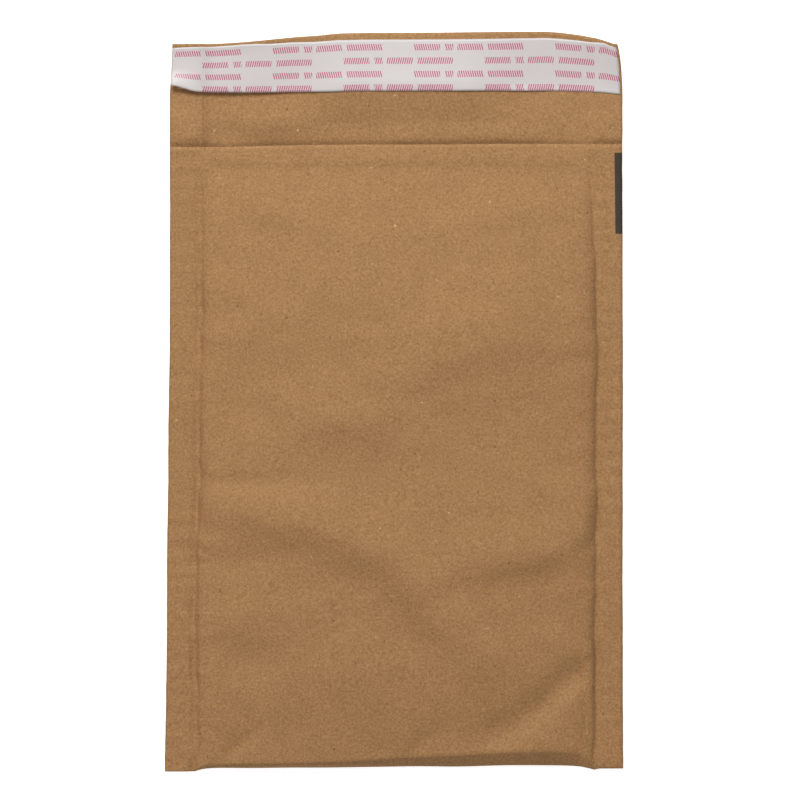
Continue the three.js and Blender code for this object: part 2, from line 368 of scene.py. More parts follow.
def body_web(share, inset, top, counts):
    """A layer of the folded body as rows of points, from the front's top edge round the bottom fold to the
    back's top edge. inset moves it towards the pocket, and top is its top edge at each share across."""
    front_rows, fold_rows, back_rows = counts
    line, reach = fold_line(across(BOTTOM + 0 * share, share), inset)
    start = line + reach
    x_fold = across(start, share)
    middle = seal_height(x_fold, start)
    up = np.maximum(front_height(x_fold, start, inset) - middle, 0.1)
    down = np.maximum(middle - back_height(x_fold, start, inset), 0.1)
    blunt = 1.25 + 0.6 * ease(-60, 30, x_fold)
    apart = 0.05  # least distance of a panel from the middle of a seal
    rows = []
    for t in np.linspace(0, 1, front_rows, endpoint=False):
        y = top * (1 - t) + start * t
        x = across(y, share)
        rows.append((x, y, np.maximum(front_height(x, y, inset), seal_height(x, y) + apart)))
    for angle in np.linspace(math.pi / 2, -math.pi / 2, fold_rows):
        out = max(math.cos(angle), 0.0) ** blunt
        lift = np.sign(angle) * abs(math.sin(angle)) ** blunt
        y = start - reach * out
        rows.append((across(y, share), y, middle + np.where(angle > 0, up, down) * lift))
    for t in np.linspace(0, 1, back_rows + 1)[1:]:
        y = start * (1 - t) + top * t
        x = across(y, share)
        rows.append((x, y, np.minimum(back_height(x, y, inset), seal_height(x, y) - apart)))
    return rows


def flap_tilt(x, s):
    """The flap's slope in radians at a share s of its length, from the lip to the free edge."""
    left = ease(8, -76, x)
    right = ease(60, 99, x)
    curl = ease(0.34, 0.66, s)
    brim = ease(0.88, 1.0, s)
    ends = left * (1.5 + 1 * curl + 7 * brim) + right * (2 + 4 * curl + 6 * brim)
    score = 26 * np.exp(-(((s - 0.02) / 0.02) ** 2))
    root = 14 * (ease(-80, -88, x) * ease(0.13, 0.08, s) + ease(84, 90, x) * ease(0.09, 0.05, s))
    band = 11 * ease(-50, -20, x) * ease(62, 30, x) * (ease(0.14, 0.24, s) - 1.7 * ease(0.44, 0.6, s))
    middle = (1 - left) * (1 - right) * (2.0 * np.cos(2.4 * math.pi * s) - 0.6)
    return np.radians(ends + score + root + band + middle)


# Creases and soft swells of the flap's bare band, between the lip and the liner, as in FRONT_FORMS.
FLAP_FORMS = (
    (2.2, 3.5, (-74, 114, -0.38), (-74.5, 135, -0.38)),
    (3, 3, (-99, 129, -0.22), (-80, 128.5, -0.22)),
    (3, 3, (81, 128.5, -0.25), (99, 129, -0.25)),
    (1.6, 1.6, (80.5, 112, -0.2), (81, 136, -0.2)),
    (1.5, 1.5, (84.5, 112, 0.15), (85, 136, 0.15)),
    (7, 5, (-74, 124, 0.5), (-58, 122, 1.0), (-38, 123, 0.7)),
    (2, 2, (0, 119, 0.35), (6, 114.5, 0.5)),
    (4, 4, (12, 118, 0.3), (60, 118, 0.3)),
)


def flap_rise(x, y):
    """The relief of the flap's bare band."""
    band = ease(LIP + 26, LIP + 20, y) * ease(LIP - 1, LIP + 2, y)
    swell = 0.10 * waves(x, y, 30, seed=51) + 0.03 * waves(x, y, 11, seed=52)
    return (sum(form(x, y, *shape) for shape in FLAP_FORMS) + swell) * band


# Where the flap's free edge lies: (x, y) knots. Its ends were cut short of square, and curl up a little.
FREE_EDGE = ((-99, 156.9), (-80, 157.1), (-72, 157.5), (-63, 158.2), (-54, 159.1), (-44, 160.1),
             (-34, 160.8), (-24, 161.8), (-12, 162.1), (20, 162.2), (44, 162.5), (59, 162.6),
             (68, 162.6), (73.4, 162.2), (78.3, 161.6), (83.2, 160.9), (88, 159.9), (91, 159.3),
             (94.5, 158.3), (98.5, 156.8))
FLAP_STEPS = 200  # for adding up the flap's slope along its length


def flap_web(share, stations, lift=0.0):
    """Rows of points over the flap at the given shares of its length, each a number or a number for each
    column. lift raises them off the paper."""
    root_y = lip_line(across(LIP + 0 * share, share))
    root_x = across(root_y, share)
    root_z = back_height(root_x, root_y)
    fine = np.linspace(0, 1, FLAP_STEPS + 1)
    tilt = flap_tilt(root_x, (fine[1:, None] + fine[:-1, None]) / 2)
    step = (along(FREE_EDGE, root_x) - root_y) / np.sum(np.cos(tilt), axis=0)
    start = np.zeros((1, len(share)))
    reach = np.concatenate([start, np.cumsum(step * np.cos(tilt), axis=0)])
    rise = np.concatenate([start, np.cumsum(step * np.sin(tilt), axis=0)])
    column = np.arange(len(share))
    rows = []
    for s in stations:
        s = s + 0 * share
        at = s * FLAP_STEPS
        below = np.minimum(at.astype(int), FLAP_STEPS - 1)
        part = at - below
        y = root_y + reach[below, column] * (1 - part) + reach[below + 1, column] * part
        z = rise[below, column] * (1 - part) + rise[below + 1, column] * part
        z = root_z * (1 - 0.8 * ease(0, 0.8, s)) + z
        x = across(y, share)
        floor = 0.25 * (1 - ease(0, 0.2, s)) + 0.25
        rows.append((x, y, np.maximum(z + flap_rise(x, y), floor) + lift))
    return rows


def travelled(rows):
    """The distance along the middle of the web at each row."""
    width = len(rows[0][0])
    middle = np.array([[float(np.broadcast_to(v, width)[width // 2]) for v in row] for row in rows])
    return np.concatenate([[0], np.cumsum(np.linalg.norm(np.diff(middle, axis=0), axis=1))])


INSIDE = 2.0  # metres


def web_mesh(name, rows, wall, room=None):
    """A sheet over rows of (x, y, z) points that face the outside, with its thickness on the inside. Its
    UV map holds x and the distance along the web, both in metres, and on the inside a distance that is
    lower by INSIDE. room is a number for each point, kept as an attribute."""
    face = np.array([np.stack(np.broadcast_arrays(*row), axis=-1) for row in rows])
    count, width, _ = face.shape
    size = count * width
    normal = np.cross(np.gradient(face, axis=0), np.gradient(face, axis=1))
    normal /= np.linalg.norm(normal, axis=-1, keepdims=True) + 1e-12
    points = np.concatenate([face.reshape(-1, 3), (face - wall * normal).reshape(-1, 3)]) * MM
    corner = np.arange(size).reshape(count, width)
    outer = np.stack([corner[:-1, :-1], corner[1:, :-1], corner[1:, 1:], corner[:-1, 1:]], axis=-1)
    outer = outer.reshape(-1, 4)
    inner = outer[:, ::-1] + size
    rim = np.concatenate([corner[0], corner[1:, -1], corner[-1, -2::-1], corner[-2:0:-1, 0]])
    after = np.roll(rim, -1)
    sides = np.stack([rim, after, after + size, rim + size], axis=-1)
    faces = np.concatenate([outer, inner, sides])
    mesh = bpy.data.meshes.new(name)
    mesh.from_pydata(points.tolist(), [], faces.tolist())

    distance = np.repeat(travelled(rows)[:, None], width, axis=1)
    uv = np.stack([face[..., 0], distance], axis=-1).reshape(-1, 2) * MM
    inner_uv = uv[inner.ravel() - size] - (0, INSIDE)
    corners = np.concatenate([uv[outer.ravel()], inner_uv, uv[sides.ravel() % size]])
    mesh.uv_layers.new(name="web").data.foreach_set("uv", corners.astype(np.float32).ravel())
    smooth = np.ones(len(faces), dtype=bool)
    smooth[-len(sides):] = False
    mesh.polygons.foreach_set("use_smooth", smooth)
    if room is not None:
        values = np.tile(np.array(room).ravel() * MM, 2).astype(np.float32)
        mesh.attributes.new("room", "FLOAT", "POINT").data.foreach_set("value", values)
    made = bpy.data.objects.new(name, mesh)
    bpy.context.scene.collection.objects.link(made)
    return made


def paper_web():
    """The web is one sheet, so its rows run on from the back panel into the flap."""
    share = web_shares(PAPER_COLUMNS, PAPER_CROWDING)
    lip = lip_line(across(LIP + 0 * share, share))
    body = body_web(share, 0.0, lip, PAPER_ROWS)
    return body + flap_web(share, np.linspace(0, 1, FLAP_ROWS + 1)[1:])


kraft_sheet_piece = web_mesh("kraft_paper_sheet", paper_web(), PAPER)


# ---- The bubble film -----------------------------------------------------------------------------

FILM = 0.06  # the flat film's thickness
FILM_INSET = PAPER + 0.32  # from the paper's outer face to the film's
FILM_COLUMNS = 104
FILM_CROWDING = 2.4
FILM_ROWS = (100, 8, 84)
BUBBLE_PITCH = 8.5
BUBBLE_WIDTH = 7.2
BUBBLE_HEIGHT = 2.4
BUBBLE_REACH = 0.46  # share of the pocket's opening that one side's bubbles may take
BUBBLE_CROWN = 2.6  # the power that rounds a bubble; 2 makes it half an ellipsoid
BUBBLE_SIDES = 10
BUBBLE_RINGS = 4
ROW_SHIFT = 500.0  # an even number of rows, so that no row's number is negative
LOWEST_BUBBLE = 0.4  # where there is less room than this, the bubbles are crushed flat


def bubble_room(rows):
    """How high a bubble may stand at each point of the film before it meets the bubbles of the other
    side."""
    fold_rows = range(FILM_ROWS[0], FILM_ROWS[0] + FILM_ROWS[1])
    room = []
    for i, (x, y, _) in enumerate(rows):
        gap = front_height(x, y, FILM_INSET) - back_height(x, y, FILM_INSET)
        clear = ease(2.5, 7, inward(x, y)) * ease(FILM_TOP - 1, FILM_TOP - 5, y)
        room.append(np.minimum(BUBBLE_REACH * gap, BUBBLE_HEIGHT) * clear * (0 if i in fold_rows else 1))
    return room


def dome_mesh(tree):
    """One bubble on a unit circle, one unit high. A cone's height is its distance from the rim, so a
    rounded power of it gives a steep side and a flat crown."""
    cone = add(tree, "GeometryNodeMeshCone", {
        "Vertices": BUBBLE_SIDES, "Side Segments": BUBBLE_RINGS, "Radius Top": 0.0, "Radius Bottom": 1.0,
        "Depth": 1.0,
    }, fill_type="NGON").outputs["Mesh"]
    flat = add(tree, "ShaderNodeSeparateXYZ", (add(tree, "GeometryNodeInputPosition"),))
    from_axis = add(tree, MATH, (1.0, flat.outputs["Z"]), operation="SUBTRACT")
    bent = add(tree, MATH, (from_axis, BUBBLE_CROWN), operation="POWER")
    left_over = add(tree, MATH, (1.0, bent), operation="SUBTRACT")
    height = add(tree, MATH, (left_over,), operation="SQRT")
    rounded = add(tree, "ShaderNodeCombineXYZ", (flat.outputs["X"], flat.outputs["Y"], height))
    dome = add(tree, "GeometryNodeSetPosition", {"Geometry": cone, "Position": rounded})
    return add(tree, "GeometryNodeSetShadeSmooth", {"Geometry": dome})


def bubbles_tree():
    """Rows of bubbles over a film: a hexagonal grid that is laid out on the flat web and carried to the
    folded one."""
    tree = bpy.data.node_groups.new("bubble rows", "GeometryNodeTree")
    face = tree.interface
    face.new_socket("Geometry", in_out="INPUT", socket_type="NodeSocketGeometry")
    for name in ("Web width", "Web length", "Pitch", "Bubble width", "Lowest bubble"):
        face.new_socket(name, in_out="INPUT", socket_type="NodeSocketFloat")
    face.new_socket("Film", in_out="INPUT", socket_type="NodeSocketMaterial")
    face.new_socket("Geometry", in_out="OUTPUT", socket_type="NodeSocketGeometry")
    given = add(tree, "NodeGroupInput").outputs

    # The grid on the flat web, with every second row half a pitch on.
    row_gap = add(tree, MATH, (given["Pitch"], math.sqrt(3) / 2), operation="MULTIPLY")
    fitting = add(tree, MATH, (given["Web width"], given["Pitch"]), operation="DIVIDE")
    across_count = add(tree, MATH, (fitting,), operation="FLOOR")
    fitting = add(tree, MATH, (given["Web length"], row_gap), operation="DIVIDE")
    along_count = add(tree, MATH, (fitting,), operation="FLOOR")
    across_steps = add(tree, MATH, (across_count, 1.0), operation="SUBTRACT")
    along_steps = add(tree, MATH, (along_count, 1.0), operation="SUBTRACT")
    grid = add(tree, "GeometryNodeMeshGrid", {
        "Size X": add(tree, MATH, (across_steps, given["Pitch"]), operation="MULTIPLY"),
        "Size Y": add(tree, MATH, (along_steps, row_gap), operation="MULTIPLY"),
        "Vertices X": across_count,
        "Vertices Y": along_count,
    }).outputs["Mesh"]
    place = add(tree, "ShaderNodeSeparateXYZ", (add(tree, "GeometryNodeInputPosition"),))
    row = add(tree, MATH, (place.outputs["Y"], row_gap), operation="DIVIDE")
    row = add(tree, MATH, (row, ROW_SHIFT), operation="ADD")
    row = add(tree, MATH, (row,), operation="ROUND")
    odd = add(tree, MATH, (row, 2.0), operation="MODULO")
    half_pitch = add(tree, MATH, (given["Pitch"], 0.5), operation="MULTIPLY")
    stagger = add(tree, MATH, (odd, half_pitch), operation="MULTIPLY")
    half_length = add(tree, MATH, (given["Web length"], 0.5), operation="MULTIPLY")
    on_web = add(tree, "ShaderNodeCombineXYZ", {
        "X": add(tree, MATH, (place.outputs["X"], stagger), operation="ADD"),
        "Y": add(tree, MATH, (place.outputs["Y"], half_length), operation="ADD"),
    })

    # What the folded film has at each place of the grid.
    web = add(tree, "GeometryNodeInputNamedAttribute", {"Name": "web"}, data_type="FLOAT_VECTOR")

    def sampled(value, data_type):
        """A value of the film at the places of the grid."""
        return add(tree, "GeometryNodeSampleUVSurface", {
            "Mesh": given["Geometry"], "Value": value, "UV Map": web, "Sample UV": on_web,
        }, data_type=data_type)

    free_height = add(tree, "GeometryNodeInputNamedAttribute", {"Name": "room"}, data_type="FLOAT")
    room = sampled(free_height, "FLOAT")
    spot = sampled(add(tree, "GeometryNodeInputPosition"), "FLOAT_VECTOR").outputs["Value"]
    outward = sampled(add(tree, "GeometryNodeInputNormal"), "FLOAT_VECTOR").outputs["Value"]
    to_pocket = add(tree, VECTOR_MATH, {0: outward, "Scale": -1.0}, operation="SCALE")
    high_enough = add(tree, MATH, (room.outputs["Value"], given["Lowest bubble"]), operation="GREATER_THAN")
    fits = add(tree, MATH, (room.outputs["Is Valid"], high_enough), operation="MULTIPLY")
    turned = add(tree, "FunctionNodeAlignRotationToVector", {"Vector": to_pocket}, axis="Z")
    radius = add(tree, MATH, (given["Bubble width"], 0.5), operation="MULTIPLY")
    size = add(tree, "ShaderNodeCombineXYZ", (radius, radius, room.outputs["Value"]))
    kept = {"turned": ("QUATERNION", turned), "size": ("FLOAT_VECTOR", size), "fits": ("BOOLEAN", fits)}
    for name, (data_type, value) in kept.items():
        grid = add(tree, "GeometryNodeStoreNamedAttribute", {
            "Geometry": grid, "Name": name, "Value": value,
        }, data_type=data_type, domain="POINT")
    moved = add(tree, "GeometryNodeSetPosition", {"Geometry": grid, "Position": spot})

    def recall(name):
        """A stored value of a bubble."""
        return add(tree, "GeometryNodeInputNamedAttribute", {"Name": name}, data_type=kept[name][0])

    domes = add(tree, "GeometryNodeInstanceOnPoints", {
        "Points": moved, "Selection": recall("fits"), "Instance": dome_mesh(tree),
        "Rotation": recall("turned"), "Scale": recall("size"),
    })
    together = add(tree, "GeometryNodeJoinGeometry")
    tree.links.new(given["Geometry"], together.inputs[0])
    tree.links.new(domes.outputs[0], together.inputs[0])
    real = add(tree, "GeometryNodeRealizeInstances", {"Geometry": together})
    finished = add(tree, "GeometryNodeSetMaterial", {"Geometry": real, "Material": given["Film"]})
    add(tree, "NodeGroupOutput", (finished,))
    return tree


def grow(piece, tree, **inputs):
    """Runs a geometry tree over a piece and keeps the result as its plain mesh."""
    modifier = piece.modifiers.new("grown", "NODES")
    modifier.node_group = tree
    for item in tree.interface.items_tree:
        key = item.name.replace(" ", "_")
        if item.in_out == "INPUT" and key in inputs:
            modifier[item.identifier] = inputs[key]
    graph = bpy.context.evaluated_depsgraph_get()
    grown = bpy.data.meshes.new_from_object(piece.evaluated_get(graph))
    piece.modifiers.remove(modifier)
    grown.name = piece.name
    piece.data = grown


film_share = web_shares(FILM_COLUMNS, FILM_CROWDING)
film_rows = body_web(film_share, FILM_INSET, FILM_TOP + 0 * film_share, FILM_ROWS)
film_piece = web_mesh("bubble_film_lining", film_rows, FILM, room=bubble_room(film_rows))


# ---- The strips on the flap ----------------------------------------------------------------------

# The shares of the flap's length at which the liner begins and ends: (x, share) knots. It was laid on a
# little askew.
LINER_LOW = ((-98, 0.540), (-80, 0.530), (-50, 0.500), (-25, 0.478), (60, 0.474), (80, 0.480), (98, 0.500))
LINER_HIGH = ((-98, 0.960), (-92, 0.966), (-68, 0.976), (-61, 0.972), (-54.7, 0.959), (-46, 0.954),
              (-37, 0.945), (-20, 0.938), (46, 0.938), (79, 0.946), (86, 0.950), (90, 0.958),
              (93, 0.972), (95.6, 0.967), (98, 0.962))
LINER_GAPS = (0.1, 1.0)  # to the flap's left and right side edges
LINER_COLUMNS = 150
LINER_ROWS = 24
LINER_LIFT = 0.40
LINER = 0.09
ADHESIVE_SHARES = (0.90, 0.56)
ADHESIVE_GAPS = (3, 4)
ADHESIVE_COLUMNS = 90
ADHESIVE_ROWS = 12
ADHESIVE_LIFT = 0.18
ADHESIVE = 0.08


def strip_share(gaps, count):
    """Shares across the flap that leave a gap at each end, in millimetres."""
    left_gap, right_gap = gaps
    return np.linspace(left_gap / (2 * HALF_WIDTH), 1 - right_gap / (2 * HALF_WIDTH), count)


def adhesive_web():
    """The adhesive lies flat on the flap."""
    stations = np.linspace(*ADHESIVE_SHARES, ADHESIVE_ROWS)
    return flap_web(strip_share(ADHESIVE_GAPS, ADHESIVE_COLUMNS), stations, ADHESIVE_LIFT)


def liner_web():
    """The liner follows the flap. Its lower left corner has come away and its lower edge stands loose."""
    spots = strip_share(LINER_GAPS, LINER_COLUMNS)
    x = across(LIP + 35 + 0 * spots, spots)
    low, high = along(LINER_LOW, x), along(LINER_HIGH, x)
    rows = flap_web(spots, [high + (low - high) * t for t in np.linspace(0, 1, LINER_ROWS)], LINER_LIFT)
    lifted = []
    for x, y, z in rows:
        from_left = x - x[0]
        from_low = y - rows[-1][1]
        peel = (1 - ease(0, 16, from_left)) ** 1.5 * (1 - ease(0, 11, from_low)) ** 1.3
        loose = (1 - ease(0, 3.5, from_low)) * np.abs(0.12 + 0.12 * waves(x, 0 * x, 40, seed=61))
        loose = loose + 1.3 * (1 - ease(20, 75, from_left)) * (1 - ease(0, 19, from_low))
        lifted.append((x + 0.4 * peel, y + 2.5 * peel, z + 1.6 * peel + loose))
    return lifted


adhesive_piece = web_mesh("hot_melt_strip", adhesive_web(), ADHESIVE)
liner_piece = web_mesh("release_liner_strip", liner_web(), LINER)


# ---- Materials -----------------------------------------------------------------------------------


def new_material(name, **shader_inputs):
    """A material, its node tree and its shader, whose inputs are given with _ for a space in their
    names."""
    material = bpy.data.materials.new(name)
    material.use_nodes = True
    tree = material.node_tree
    shader = tree.nodes["Principled BSDF"]
    for key, value in shader_inputs.items():
        shader.inputs[key.replace("_", " ")].default_value = value
    return material, tree, shader


def object_mm(tree):
    """The place on the piece in millimetres."""
    where = add(tree, "ShaderNodeTexCoord").outputs["Object"]
    return add(tree, VECTOR_MATH, {0: where, "Scale": 1 / MM}, operation="SCALE")


def web_mm(tree):
    """The place across the flat web and along it, in millimetres."""
    place = add(tree, "ShaderNodeSeparateXYZ", (add(tree, "ShaderNodeUVMap", uv_map="web"),))
    across_web = add(tree, MATH, (place.outputs[0], MM), operation="DIVIDE")
    along_web = add(tree, MATH, (place.outputs[1], MM), operation="DIVIDE")
    return across_web, along_web


def with_flecks(tree, mm, base, cell, radius, share_of_cells, colour, seed):
    """A base colour with ragged dots in some of the cells of a Voronoi pattern. Sizes are millimetres."""
    moved = add(tree, VECTOR_MATH, (mm, (seed, 2.3 * seed, 0)), operation="ADD")
    wobble = add(tree, NOISE, {"Vector": moved, "Scale": 1.1, "Detail": 1.0}).outputs["Color"]
    bent = add(tree, VECTOR_MATH, (wobble, (1.1, 1.1, 1.1), moved), operation="MULTIPLY_ADD")
    cells = add(tree, "ShaderNodeTexVoronoi", {"Vector": bent, "Scale": 1 / cell})
    pick = add(tree, "ShaderNodeSeparateColor", (cells.outputs["Color"],))
    chosen = add(tree, MATH, (pick.outputs[0], share_of_cells), operation="LESS_THAN")
    size = add(tree, MATH, (pick.outputs[1], radius / cell, 0.45 * radius / cell), operation="MULTIPLY_ADD")
    edge = add(tree, MATH, (cells.outputs["Distance"], size), operation="DIVIDE")
    inside = add(tree, MATH, (1.6, edge), operation="SUBTRACT", use_clamp=True)
    strength = add(tree, MATH, (chosen, 0.75), operation="MULTIPLY")
    amount = add(tree, MATH, (inside, strength), operation="MULTIPLY")
    laid = add(tree, MIX, {0: amount, MIX_A: base, MIX_B: linear(colour)}, data_type="RGBA")
    return laid.outputs[MIX_COLOUR]


def fibre_lines(tree, mm, spacing, thin, seed):
    """Curled hairs: thin lines where a noise crosses its middle value, cut into lengths by a second
    noise."""
    moved = add(tree, VECTOR_MATH, (mm, (seed, -seed, 0)), operation="ADD")
    field = add(tree, NOISE, {"Vector": moved, "Scale": 1 / spacing, "Detail": 1.0})
    off = add(tree, MATH, (field, 0.5), operation="SUBTRACT")
    off = add(tree, MATH, (off,), operation="ABSOLUTE")
    off = add(tree, MATH, (off, thin), operation="DIVIDE")
    line = add(tree, MATH, (1.0, off), operation="SUBTRACT", use_clamp=True)
    cut = add(tree, NOISE, {"Vector": moved, "Scale": 1 / 2.2})
    cut = add(tree, MATH, (cut, 0.55), operation="SUBTRACT")
    kept = add(tree, MATH, (cut, 12.0, 0.0), operation="MULTIPLY_ADD", use_clamp=True)
    whole = add(tree, MATH, (line, kept), operation="MULTIPLY")
    return add(tree, MATH, (whole, 0.5), operation="MULTIPLY")


MARK_LEFT = 96.4  # the registration mark's left side, on the web's centred width
MARK_SPAN = (3.6, 39.0)  # its ends, along the web from the lip
MARK_SLANT = -0.012
MARK_SHARPNESS = 6.0  # of its edges, over a millimetre


def with_registration_mark(tree, base, grain):
    """A base colour with the black mark that is printed at the web's right edge, below the lip. Its left
    side is as ragged as the paper's grain."""
    across_web, along_web = web_mm(tree)
    slanted = add(tree, MATH, (along_web, MARK_SLANT, across_web), operation="MULTIPLY_ADD")
    past_side = add(tree, MATH, (slanted, MARK_LEFT), operation="SUBTRACT")
    ragged = add(tree, MATH, (grain, 0.25, -0.12), operation="MULTIPLY_ADD")
    past_side = add(tree, MATH, (past_side, ragged), operation="ADD")
    past_top = add(tree, MATH, (along_web, MARK_SPAN[0]), operation="SUBTRACT")
    before_end = add(tree, MATH, (MARK_SPAN[1], along_web), operation="SUBTRACT")
    cover = add(tree, MATH, (grain, 0.12, 0.89), operation="MULTIPLY_ADD")
    for distance in (past_side, past_top, before_end):
        within = add(tree, MATH, (distance, MARK_SHARPNESS), operation="MULTIPLY", use_clamp=True)
        cover = add(tree, MATH, (cover, within), operation="MULTIPLY")
    inked = add(tree, MIX, {0: cover, MIX_A: base, MIX_B: linear("#35322c")}, data_type="RGBA")
    return inked.outputs[MIX_COLOUR]


def brown_kraft():
    """Unbleached kraft paper, machine made from recycled pulp: a mottled brown with darker and paler
    fibres, sparse dark shives and a dry, faintly fibrous surface."""
    material, tree, shader = new_material(
        "unbleached_kraft_paper", Roughness=0.82, Specular_IOR_Level=0.28, IOR=1.48
    )
    mm = object_mm(tree)
    cloud = add(tree, NOISE, {"Vector": mm, "Scale": 1 / 12, "Detail": 2.0})
    grain = add(tree, NOISE, {"Vector": mm, "Scale": 1 / 0.95, "Detail": 3.0, "Roughness": 0.7})
    pulp = add(tree, NOISE, {"Vector": mm, "Scale": 1 / 2.4, "Detail": 2.0, "Distortion": 1.2})
    tone = add(tree, "ShaderNodeValToRGB", {"Fac": grain})
    dark, light = tone.color_ramp.elements
    dark.position = 0.22
    dark.color = linear("#825b30")
    light.position = 0.78
    light.color = linear("#b28c62")
    mottle = add(tree, MATH, (cloud, 0.14, 0.86), operation="MULTIPLY_ADD")
    mottle = add(tree, MATH, (pulp, 0.14, mottle), operation="MULTIPLY_ADD")
    base = add(tree, VECTOR_MATH, {0: tone, "Scale": mottle}, operation="SCALE")
    for cell, radius, share_of_cells, colour, seed in (
        (3.4, 0.25, 0.38, "#694a2e", 11.0),
        (7.0, 0.32, 0.34, "#553922", 41.0),
        (6.0, 0.24, 0.36, "#dab98e", 73.0),
    ):
        base = with_flecks(tree, mm, base, cell, radius, share_of_cells, colour, seed)
    pale_fibres = fibre_lines(tree, mm, spacing=5.0, thin=0.010, seed=5.0)
    dark_fibres = fibre_lines(tree, mm, spacing=6.0, thin=0.009, seed=17.0)
    for amount, colour in ((pale_fibres, "#c79f72"), (dark_fibres, "#7b5836")):
        laid = add(tree, MIX, {0: amount, MIX_A: base, MIX_B: linear(colour)}, data_type="RGBA")
        base = laid.outputs[MIX_COLOUR]
    base = with_registration_mark(tree, base, grain)
    tree.links.new(base, shader.inputs["Base Color"])
    fuzz = add(tree, MATH, (pale_fibres, 0.6, grain), operation="MULTIPLY_ADD")
    bump = add(tree, "ShaderNodeBump", {"Height": fuzz, "Strength": 0.55, "Distance": 0.06 * MM})
    tree.links.new(bump.outputs[0], shader.inputs["Normal"])
    return material


PRINT_PITCH = 6.0  # from row to row
PRINT_HEIGHT = 2.85
PRINT_START = 2.05  # of the first row, along the web from the liner's upper edge
PRINT_REPEAT = 62.0
PRINT_SHIFT = 301.4  # where the repeat begins; large, so that no place on the liner is negative
PRINT_GROUPS = ((0.0, 11.4), (13.6, 3.6), (19.0, 11.4), (32.4, 15.6))  # start and length in the repeat
STROKE_PITCH = 0.98
STROKE_SHARE = 0.5  # of the pitch that is ink
STROKE_SHIFT = 8.0  # where the strokes are counted from
STROKE_LEAN = 0.25  # sideways for each unit of height, one way or the other from row to row


def stroke_rows(tree):
    """The printed rows and the strokes in them: 1 on the groups, and 1 on the ink. Every second row is
    half a repeat on."""
    across_web, along_web = web_mm(tree)
    row = add(tree, MATH, (along_web, PRINT_START), operation="SUBTRACT")
    row = add(tree, MATH, (row, PRINT_PITCH), operation="DIVIDE")
    row_index = add(tree, MATH, (row,), operation="FLOOR")
    in_row = add(tree, MATH, (row,), operation="FRACT")
    in_row = add(tree, MATH, (in_row, PRINT_PITCH), operation="MULTIPLY")
    odd = add(tree, MATH, (row_index, 2.0), operation="MODULO")
    within = add(tree, MATH, (across_web, PRINT_SHIFT), operation="ADD")
    within = add(tree, MATH, (odd, PRINT_REPEAT / 2, within), operation="MULTIPLY_ADD")
    within = add(tree, MATH, (within, PRINT_REPEAT), operation="MODULO")
    groups = 0.0
    for start, length in PRINT_GROUPS:
        after_start = add(tree, MATH, (within, start), operation="GREATER_THAN")
        before_end = add(tree, MATH, (within, start + length), operation="LESS_THAN")
        groups = add(tree, MATH, (after_start, before_end, groups), operation="MULTIPLY_ADD")
    lean = add(tree, MATH, (odd, 2 * STROKE_LEAN, -STROKE_LEAN), operation="MULTIPLY_ADD")
    stroke = add(tree, MATH, (lean, in_row, within), operation="MULTIPLY_ADD")
    stroke = add(tree, MATH, (stroke, STROKE_SHIFT), operation="ADD")
    stroke = add(tree, MATH, (stroke, STROKE_PITCH), operation="DIVIDE")
    stroke = add(tree, MATH, (stroke,), operation="FRACT")
    stroke = add(tree, MATH, (stroke, STROKE_SHARE), operation="LESS_THAN")
    tall = add(tree, MATH, (in_row, PRINT_HEIGHT), operation="LESS_THAN")
    tall = add(tree, MATH, (tall, groups), operation="MULTIPLY")
    return tall, add(tree, MATH, (stroke, tall), operation="MULTIPLY")


def printed_liner():
    """Siliconised white release paper with flexo print: a cool white with a faint satin gloss, and rows of
    short pink slanted strokes, each group with a faint pink haze of its own."""
    material, tree, shader = new_material(
        "siliconised_release_paper", Roughness=0.42, Specular_IOR_Level=0.4, IOR=1.48
    )
    tall, printed = stroke_rows(tree)
    mm = object_mm(tree)
    fine = add(tree, NOISE, {"Vector": mm, "Scale": 1 / 1.3, "Detail": 3.0})
    soft = add(tree, NOISE, {"Vector": mm, "Scale": 1 / 14, "Detail": 2.0})
    mottle = add(tree, MATH, (fine, 0.4), operation="MULTIPLY")
    mottle = add(tree, MATH, (soft, 0.6, mottle), operation="MULTIPLY_ADD")
    haze = add(tree, MATH, (tall, 0.16), operation="MULTIPLY")
    patchy = add(tree, MATH, (fine, 0.5, 0.6), operation="MULTIPLY_ADD")
    ink = add(tree, MATH, (printed, patchy), operation="MULTIPLY")
    base = linear("#bcb8b8")
    for amount, colour in ((mottle, "#c5c1c1"), (haze, "#d79aae"), (ink, "#a8345f")):
        laid = add(tree, MIX, {0: amount, MIX_A: base, MIX_B: linear(colour)}, data_type="RGBA")
        base = laid.outputs[MIX_COLOUR]
    tree.links.new(base, shader.inputs["Base Color"])
    bump = add(tree, "ShaderNodeBump", {"Height": fine, "Strength": 0.25, "Distance": 0.03 * MM})
    tree.links.new(bump.outputs[0], shader.inputs["Normal"])
    return material


def clear_bubble_film():
    """Low-density polyethylene bubble film, blown and vacuum formed: milky clear and softly shiny."""
    material, tree, shader = new_material(
        "polyethylene_bubble_film", Roughness=0.22, IOR=1.51, Transmission_Weight=0.45
    )
    haze = add(tree, NOISE, {"Vector": object_mm(tree), "Scale": 1 / 6, "Detail": 3.0})
    tint = {0: haze, MIX_A: linear("#d4d9db"), MIX_B: linear("#f1f4f5")}
    milky = add(tree, MIX, tint, data_type="RGBA")
    tree.links.new(milky.outputs[MIX_COLOUR], shader.inputs["Base Color"])
    bump = add(tree, "ShaderNodeBump", {"Height": haze, "Strength": 0.3, "Distance": 0.2 * MM})
    tree.links.new(bump.outputs[0], shader.inputs["Normal"])
    return material


